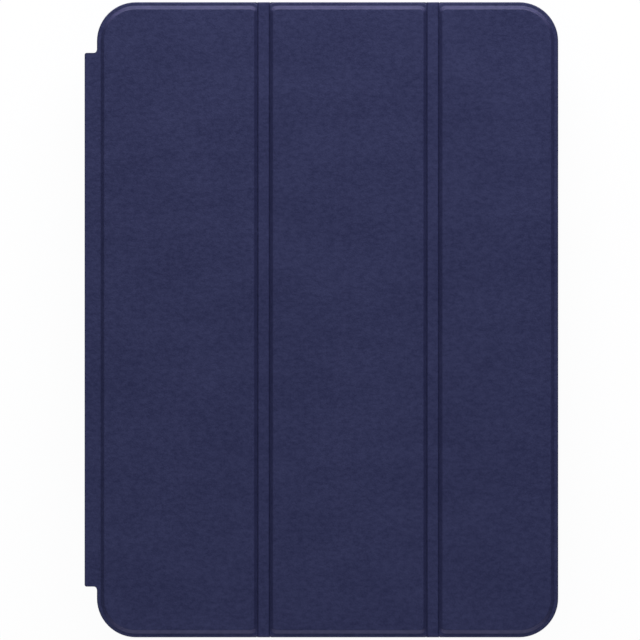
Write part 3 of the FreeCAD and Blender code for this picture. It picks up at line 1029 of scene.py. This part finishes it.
@dataclass
class Cover:
    """Places, heights and lengths that the cover's parts share, in millimetres."""

    length: float = 252.4
    corner: float = 15.5
    lining_low: float = 9.4
    sheet_low: float = 9.8
    sheet_high: float = 10.3
    pad_top: float = 11.5
    fold_level: float = 9.85
    rim_drop: float = 0.4
    rim_reach: float = 0.9
    rim_steps: int = 7
    thin_share: float = 0.8
    foot: float = 0.3
    pads: tuple[Pair, ...] = ((-89.55, -28.25), (-22.55, 38.95), (44.65, 89.55))
    folds: tuple[Pair, ...] = ((-27.5, -23.3), (39.7, 43.9))

    def end_section(self, low: float, high: float, pressed: float = 0.0) -> Section:
        """A strip's section across its length, rounded like the hem at its outer side's ends.

        Args:
            low: its lower face.
            high: its upper face.
            pressed: how much thinner it is than the hem.

        Returns:
            The section's (place along the folds, height) points.
        """
        half = self.length / 2
        drop = min(self.rim_drop, (high - low) * self.thin_share) if pressed else self.rim_drop
        right = [(half, low), *((half - inset, z) for inset, z in self.rim(high, drop))]
        return right + [(-y, z) for y, z in reversed(right)]

    def rim(self, high: float, drop: float) -> Section:
        """The hem's rounded edge: (inset from the cover's outline, height), from outside in."""
        curve = arc((1.0, 0.0), 1.0, 180, 90, self.rim_steps)
        return [(inset * self.rim_reach, high + (rise - 1.0) * drop) for inset, rise in curve]


@dataclass
class Panel:
    """One stiff panel of the cover: leather pressed over its board, and the lining behind."""

    finishes: Finishes
    sweep: SectionSweep
    cover: Cover
    body: Body
    pad: Pair
    outer_left: bool
    outer_right: bool
    hem: float = 2.1
    skin: float = 0.5
    board_edge: float = 0.4
    slope: Pair = (-0.9, 1.3)
    slope_steps: int = 16
    pad_corner: float = 2.4
    inner_ring: float = 0.3
    square: float = 0.5
    lining_edge: float = 0.12
    soft: list[bpy.types.Object] = field(default_factory=list)

    def limits(self) -> Pair:
        """The sheet's edges.

        Returns:
            The left and the right edge.
        """
        left = self.pad[0] - (self.hem if self.outer_left else self.cover.foot)
        right = self.pad[1] + (self.hem if self.outer_right else self.cover.foot)
        return left, right

    def leather_section(self) -> Section:
        """The skin's section.

        Returns:
            Points over the board's hollow, out under the hem, and back up over the pad.
        """
        cover, skin, edge = self.cover, self.skin, self.board_edge
        ceiling = cover.pad_top - skin
        points = [(skin + edge, ceiling), (skin, ceiling - edge), (skin, cover.sheet_low)]
        points += [(-self.hem, cover.sheet_low)]
        hem = cover.rim(cover.sheet_high, cover.rim_drop)
        points += [(inset - self.hem, height) for inset, height in hem]
        run, rise = self.slope[1] - self.slope[0], cover.pad_top - cover.sheet_high
        for step in range(self.slope_steps + 1):
            share = step / self.slope_steps
            points.append((self.slope[0] + run * share, cover.sheet_high + rise * eased(share)))
        return points + [(self.slope[1] + self.inner_ring, cover.pad_top)]

    def lining_section(self) -> Section:
        """The lining's section.

        Returns:
            The lower face, the edge with its lower corner taken off, and the upper face.
        """
        low, high, edge = self.cover.lining_low, self.cover.sheet_low, self.lining_edge
        ring = self.square - edge
        return [(ring, low), (edge, low), (0.0, low + edge), (0.0, high), (ring, high)]

    def build(self) -> None:
        """Builds the panel's leather and lining."""
        cover = self.cover
        left, right = self.limits()
        outer_corner = cover.corner - self.hem
        values = {
            "Width": self.pad[1] - self.pad[0],
            "Length": cover.length - 2 * self.hem,
            "Left Corner": outer_corner if self.outer_left else self.pad_corner,
            "Right Corner": outer_corner if self.outer_right else self.pad_corner,
            "Middle": sum(self.pad) / 2,
            "Left Limit": left,
            "Right Limit": right,
            "Material": self.finishes.leather,
        }
        name = self.body.value
        leather = self.sweep.piece(f"{name}_leather", self.leather_section(), values)
        stands_for(leather, Slot.LEATHER, f"{name}_skin")
        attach(leather, name)
        flat = ((right - left) * MM, cover.length * MM)

        values.update(
            {
                "Width": right - left,
                "Length": cover.length,
                "Left Corner": cover.corner if self.outer_left else self.square,
                "Right Corner": cover.corner if self.outer_right else self.square,
                "Middle": (left + right) / 2,
                "Material": self.finishes.microfibre,
            }
        )
        lining = self.sweep.piece(f"{name}_cloth", self.lining_section(), values)
        stands_for(lining, Slot.MICROFIBRE, f"{name}_lining")
        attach(lining, name)


@dataclass
class Crease:
    """The soft strip between two panels, in two halves that each hold one fold."""

    finishes: Finishes
    cover: Cover
    body: Body
    near: Body
    far: Body
    edges: Pair
    folds: Pair
    bend: float = 0.3
    bend_steps: int = 10
    press_depth: float = 0.32
    press_run: float = 0.7
    press_steps: int = 6

    def pressed(self, distance: float) -> float:
        """How far the leather is pressed down at a distance from the strip's edge."""
        share = min(max(distance / self.press_run, 0.0), 1.0)
        return self.press_depth * (1.0 - eased(share))

    def stops(self, fold: float, edge: float, inward: float) -> list[float]:
        """Places across a half, close together at its fold and where it is pressed.

        Args:
            fold: where it bends.
            edge: its edge beside the pad.
            inward: 1 or -1, the way to the strip's middle.

        Returns:
            The places, in order.
        """
        bend, count = self.bend, self.bend_steps
        bent = [fold - bend + 2 * bend * step / count for step in range(count + 1)]
        steps = range(self.press_steps + 1)
        pressed = [edge + inward * self.press_run * step / self.press_steps for step in steps]
        middle = sum(self.edges) / 2
        return sorted({round(x, 4) for x in (edge, middle, *bent, *pressed)})

    def half(self, name: str, level: Pair, fold: float, edge: float, slot: Slot) -> bpy.types.Object:
        """One half of a strip, from its edge to the strip's middle.

        Args:
            name: the piece's name.
            level: its lower and upper face.
            fold: where it bends.
            edge: its edge beside the pad.
            slot: leather, which is pressed beside the pad, or microfibre.

        Returns:
            The piece.
        """
        is_leather = slot is Slot.LEATHER
        finish = self.finishes.leather if is_leather else self.finishes.microfibre
        inward = 1.0 if sum(self.edges) / 2 > edge else -1.0
        rings = []
        for x in self.stops(fold, edge, inward):
            drop = self.pressed((x - edge) * inward) if is_leather else 0.0
            section = self.cover.end_section(level[0], level[1] - drop, drop)
            rings.append([(x * MM, y * MM, z * MM) for y, z in section])
        return loft(name, rings, finish)

    def bend_between(
        self, piece: bpy.types.Object, fold: float
    ) -> None:
        """Bakes a half's placement into its mesh; the bend about its fold is worked out but not
        made.

        Args:
            piece: the half.
            fold: the fold's place.
        """
        level = self.cover.fold_level * MM
        start = ((fold - self.bend) * MM, 0.0, level)
        end = ((fold + self.bend) * MM, 0.0, level)
        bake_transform(piece)

    def build(self) -> list[bpy.types.Object]:
        """Builds the leather and lining halves.

        Returns:
            The leather halves.
        """
        cover, name = self.cover, self.body.value
        layers = (
            ("leather", "skin", (cover.sheet_low, cover.sheet_high), Slot.LEATHER),
            ("cloth", "lining", (cover.lining_low, cover.sheet_low), Slot.MICROFIBRE),
        )
        leathers = []
        for word, node, level, slot in layers:
            near = self.half(f"{name}_{word}_near", level, self.folds[0], self.edges[0], slot)
            far = self.half(f"{name}_{word}_far", level, self.folds[1], self.edges[1], slot)
            for piece in (near, far):
                stands_for(piece, slot, f"{name}_{node}")
            self.bend_between(near, self.folds[0])
            self.bend_between(far, self.folds[1])
            if slot is Slot.LEATHER:
                leathers += [near, far]
        return leathers


@dataclass
class Spine:
    """The folding spine: leather and lining in an upper and a lower half.

    Each half wraps round one fold, and the lining over the board stays flat.
    """

    finishes: Finishes
    cover: Cover
    left: float = -96.55
    fold: float = -96.1
    skin: float = 0.5
    lining: float = 0.4
    middle: float = 5.15
    rear_fold: float = 0.45
    top_root: float = -91.65
    rear_root: float = -88.55
    rear_cloth_root: float = -91.45
    board_back: float = -95.25
    board_end: float = 1.9
    half_length: float = 106.0
    end_round: float = 0.9
    notch: float = 1.2
    notch_steps: int = 6
    straight_steps: int = 4
    fine_reach: float = 1.2
    fine_steps: int = 12
    tip_step: float = 0.15
    tip_steps: int = 8
    cloth_stops: tuple[float, ...] = (9.3, 9.2, 9.1, 9.0, 8.9)
    cloth_gap: float = 0.02
    stations: tuple[float, ...] = (-1.0, -0.985, -0.5, 0.0, 0.5, 0.985, 1.0)
    bend: float = 0.35

    def both_folds(self) -> float:
        """The two folds' heights added, for turning a section over."""
        return self.cover.fold_level + self.rear_fold

    def board_top(self) -> float:
        """The height of the board's upper end."""
        return self.both_folds() - self.board_end

    def half_at(self, across: float, root: float) -> float:
        """How far the strip reaches along the folds at a place across it.

        Args:
            across: the place.
            root: where the strip meets the cover or the tray.

        Returns:
            Half the strip's length there.
        """
        from_tip = across - self.left
        if from_tip < self.end_round:
            lack = self.end_round - from_tip
            reach = math.sqrt(max(self.end_round**2 - lack**2, 0.0))
            return self.half_length - self.end_round + reach
        to_root = root - across
        if to_root < self.notch:
            lack = self.notch - max(to_root, 0.0)
            return self.half_length + self.notch - math.sqrt(max(self.notch**2 - lack**2, 0.0))
        return self.half_length

    def strip(
        self, name: str, section: Section, root: float, finish: bpy.types.Material
    ) -> bpy.types.Object:
        """A strip along the folds with this section.

        Args:
            name: the piece's name.
            section: its closed section across the folds.
            root: where its ends flare out to the cover.
            finish: its material.

        Returns:
            The piece.
        """
        rings = []
        for share in self.stations:
            rings.append([(x * MM, share * self.half_at(x, root) * MM, z * MM) for x, z in section])
        return loft(name, rings, finish, ribbon=True)

    def root_stops(self, root: float) -> list[float]:
        """Places across the notch, the straight and the fold of a strip.

        Args:
            root: where the strip meets the cover or the tray.

        Returns:
            The places, from the root outwards.
        """
        straight, bend = root - self.notch, self.fold + self.fine_reach
        runs = (
            (root, -self.notch, self.notch_steps),
            (straight, bend - straight, self.straight_steps),
            (bend, self.fold - bend, self.fine_steps),
        )
        return [start + run * step / steps for start, run, steps in runs for step in range(steps)]

    def mirrored(self, section: Section) -> Section:
        """An upper section turned over for the lower half."""
        return [(x, self.both_folds() - z) for x, z in section]

    def leather_section(self, root: float) -> Section:
        """The upper half's leather.

        Args:
            root: where the strip meets the cover or the tray.

        Returns:
            Points along the strip, round the fold and down the spine, and back inside.
        """
        cover = self.cover
        inner = self.left + self.skin
        bow = arc((self.fold, cover.fold_level), self.fold - self.left, 90, 180, steps=8)
        stops = [root + cover.rim_reach, *self.root_stops(root)]
        pairs = [((x, cover.sheet_high), (max(x, inner), cover.sheet_low)) for x in stops]
        pairs += [(point, (inner, cover.sheet_low)) for point in bow]
        drops = [self.tip_step * step for step in range(1, self.tip_steps + 1)]
        heights = [cover.fold_level - drop for drop in drops] + [self.middle]
        pairs += [((self.left, z), (inner, z)) for z in heights]
        return self.ribbon(pairs)

    def cloth_section(self, root: float) -> Section:
        """The upper half's lining.

        Args:
            root: where the strip's lining ends.

        Returns:
            Points under the strip, round the fold and down to the board's end, and back.
        """
        high, low = self.cover.sheet_low, self.cover.lining_low
        back = self.left + self.skin
        near = back + self.lining
        end = self.board_top() + self.lining + self.cloth_gap
        pairs = [((max(x, back), high), (max(x, near), low)) for x in self.root_stops(root)]
        pairs += [((back, high), (near, low))]
        pairs += [((back, z), (near, z)) for z in (*self.cloth_stops, end)]
        return self.ribbon(pairs)

    def face_section(self) -> Section:
        """The lining over the board's face and both its ends.

        Returns:
            Its closed section.
        """
        top, total = self.board_top(), self.both_folds()
        back, face = self.left + self.skin, self.board_back + self.lining
        bow = arc((self.board_back, top), self.lining, 90, 0, steps=4)
        upper = [((back, top), (back, top + self.lining))]
        upper += [((self.board_back, top), point) for point in bow]
        upper += [((self.board_back, self.middle), (face, self.middle))]
        lower = [((a, total - b), (c, total - d)) for (a, b), (c, d) in reversed(upper[:-1])]
        return self.ribbon(upper + lower)

    @staticmethod
    def ribbon(pairs: list[tuple[Pair, Pair]]) -> Section:
        """A closed section from points on two sides of a layer."""
        return [outer for outer, _ in pairs] + [inner for _, inner in reversed(pairs)]

    def build(self) -> bpy.types.Object:
        """Builds the halves and the lining over the board.

        Returns:
            The upper leather.
        """
        leather, cloth = self.finishes.leather, self.finishes.microfibre
        top, low, low_cloth = self.top_root, self.rear_root, self.rear_cloth_root
        uppers = [
            self.strip("spine_leather_upper", self.leather_section(top), top, leather),
            self.strip("spine_cloth_upper", self.cloth_section(top), top, cloth),
        ]
        lower_leather = self.mirrored(self.leather_section(low))
        lower_cloth = self.mirrored(self.cloth_section(low_cloth))
        lowers = [
            self.strip("spine_leather_lower", lower_leather, low, leather),
            self.strip("spine_cloth_lower", lower_cloth, low_cloth, cloth),
        ]
        face = self.strip("spine_cloth_face", self.face_section(), top, cloth)
        stands_for(face, Slot.MICROFIBRE, "spine_lining")
        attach(face, Body.SPINE.value)
        stands_for(uppers[0], Slot.LEATHER, "spine_skin")
        stands_for(lowers[0], Slot.LEATHER, "spine_skin")
        stands_for(uppers[1], Slot.MICROFIBRE, "spine_lining")
        stands_for(lowers[1], Slot.MICROFIBRE, "spine_lining", "rear_strip_lining")

        level, rear, reach = self.cover.fold_level, self.rear_fold, self.bend
        for piece in uppers:
            start = ((self.fold - reach) * MM, 0.0, (level - reach) * MM)
            end = ((self.fold + reach) * MM, 0.0, (level + reach) * MM)
            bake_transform(piece)
        for piece in lowers:
            start = ((self.fold + reach) * MM, 0.0, (rear - reach) * MM)
            end = ((self.fold - reach) * MM, 0.0, (rear + reach) * MM)
            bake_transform(piece)
        return uppers[0]


@dataclass(frozen=True)
class Lamp:
    """A soft rectangular lamp that points at the case, in metres and watts."""

    name: str
    place: Point
    size: Pair
    power: float
    colour: Colour = (1.0, 1.0, 1.0)

    def build(self) -> None:
        """Hangs the lamp, out of the camera's sight."""
        data = bpy.data.lights.new(self.name, "AREA")
        data.shape = "RECTANGLE"
        data.size, data.size_y = self.size
        data.energy = self.power
        data.color = self.colour
        lamp = bpy.data.objects.new(self.name, data)
        lamp.location = self.place
        lamp.rotation_euler = (-Vector(self.place)).to_track_quat("-Z", "Y").to_euler()
        lamp.visible_camera = False
        bpy.context.scene.collection.objects.link(lamp)


@dataclass
class Studio:
    """The camera, the lights and the white floor.

    Lengths are in millimetres, but the floor's size and the camera's far end are in metres.
    """

    aim: Pair = (-3.0, -0.1)
    frame_width: float = 253.8
    focus_level: float = 11.5
    lens: float = 110.0
    sensor: float = 36.0
    far_end: float = 20.0
    floor_level: float = -14.0
    floor_size: float = 3.0
    floor_paint: Colour = (0.8, 0.8, 0.8)
    floor_gloss: float = 1.0
    glow: float = 0.95
    white: Colour = (1.0, 1.0, 1.0)
    fill: Colour = (0.94, 0.97, 1.0)
    fill_strength: float = 0.32
    world_gloss: float = 0.1
    lamps: tuple[Lamp, ...] = (
        Lamp("window_light", (0.06, 0.65, 0.39), (0.9, 0.20), 7.9, (0.90, 0.88, 1.0)),
        Lamp("top_light", (-0.45, 0.25, 1.2), (1.0, 1.0), 2.8),
        Lamp("low_fill", (0.0, -0.66, 0.40), (0.9, 0.16), 2.2, (0.84, 0.83, 1.0)),
    )

    def camera(self) -> None:
        """Puts the camera square above the cover."""
        data = bpy.data.cameras.new("camera")
        data.sensor_width = self.sensor
        data.lens = self.lens
        data.clip_end = self.far_end
        camera = bpy.data.objects.new("camera", data)
        height = self.focus_level + self.frame_width / self.sensor * self.lens
        camera.location = (self.aim[0] * MM, self.aim[1] * MM, height * MM)
        bpy.context.scene.collection.objects.link(camera)
        bpy.context.scene.camera = camera

    @staticmethod
    def seen(bench: Bench, gloss: float) -> Wire:
        """How much of the white a ray meets.

        Args:
            bench: the tree's bench.
            gloss: the share that shows in glossy surfaces.

        Returns:
            1 for what is seen straight or through glass, the share in gloss, and 0 otherwise.
        """
        sights = ("Is Camera Ray", "Is Transmission Ray", "Is Glossy Ray")
        rays = [bench.node("ShaderNodeLightPath", None, None, name) for name in sights]
        return rays[0].most(rays[1]).most(rays[2] * gloss)

    def floor(self) -> None:
        """Lays a white floor below the lowest pose."""
        half, level = self.floor_size / 2, self.floor_level * MM
        mesh = bpy.data.meshes.new("floor")
        corners = [(-half, -half), (half, -half), (half, half), (-half, half)]
        mesh.from_pydata([(x, y, level) for x, y in corners], [], [(0, 1, 2, 3)])
        floor = place_mesh("floor", mesh)
        material = bpy.data.materials.new("white_floor")
        bench = Bench.cleared(material)
        matt = bench.node("ShaderNodeBsdfDiffuse", None, {"Color": (*self.floor_paint, 1.0)})
        light = {"Color": (*self.white, 1.0), "Strength": 1.0}
        glow = bench.node("ShaderNodeEmission", None, light)
        share = self.seen(bench, self.floor_gloss) * self.glow
        shader = bench.node("ShaderNodeMixShader", None, {0: share, 1: matt, 2: glow})
        bench.node("ShaderNodeOutputMaterial", None, {"Surface": shader})
        paint(mesh, material)

    def world(self) -> None:
        """Gives a soft even fill, with white behind."""
        world = bpy.data.worlds.new("studio")
        bench = Bench.cleared(world)
        soft = {"Color": (*self.fill, 1.0), "Strength": self.fill_strength}
        fill = bench.node("ShaderNodeBackground", None, soft)
        light = {"Color": (*self.white, 1.0), "Strength": 1.0}
        white = bench.node("ShaderNodeBackground", None, light)
        share = self.seen(bench, self.world_gloss)
        shader = bench.node("ShaderNodeMixShader", None, {0: share, 1: fill, 2: white})
        bench.node("ShaderNodeOutputWorld", None, {"Surface": shader})
        bpy.context.scene.world = world

    def build(self) -> None:
        """Builds the whole studio."""
        bpy.context.scene.view_settings.view_transform = "Standard"
        self.camera()
        self.floor()
        self.world()
        for lamp in self.lamps:
            lamp.build()


def repaint(frame: dict, finishes: Finishes) -> None:
    """Gives the hard nodes that stay in view their finishes.

    Args:
        frame: the loaded frame.
        finishes: the materials.
    """
    choices = {
        "rear_shell": finishes.shell,
        "volume_up_key": finishes.key,
        "volume_down_key": finishes.key,
        "power_key": finishes.key,
        "spine_board": finishes.board,
        "panel_1_board": finishes.board,
        "panel_2_board": finishes.board,
        "panel_3_board": finishes.board,
        "closing_magnets": finishes.magnet,
        "stand_plates": finishes.steel,
    }
    for name, material in choices.items():
        paint(frame["nodes"][name].data, material)
        LOG.info("%s takes %s", name, material.name)


def main() -> None:
    """Builds the case round its frame."""
    logging.basicConfig(level=logging.INFO, format="%(name)s: %(message)s")
    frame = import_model()
    Studio().build()
    finishes = Finishes.make()
    repaint(frame, finishes)

    cover = Cover()
    sweep = SectionSweep()
    pads, foot = cover.pads, cover.foot
    panels = (Body.PANEL_1, Body.PANEL_2, Body.PANEL_3)
    soft = [[Spine(finishes, cover).build()], [], []]
    for index, body in enumerate((Body.CREASE_1, Body.CREASE_2)):
        sides = panels[index : index + 2]
        edges = (pads[index][1] + foot, pads[index + 1][0] - foot)
        crease = Crease(finishes, cover, body, *sides, edges, cover.folds[index])
        near, far = crease.build()
        soft[index].append(near)
        soft[index + 1].append(far)
    for body, pad, strips in zip(panels, pads, soft):
        is_first, is_last = body is panels[0], body is panels[-1]
        Panel(finishes, sweep, cover, body, pad, is_first, is_last, soft=strips).build()
    Tray(finishes, sweep).build()


if __name__ == "__main__":
    main()
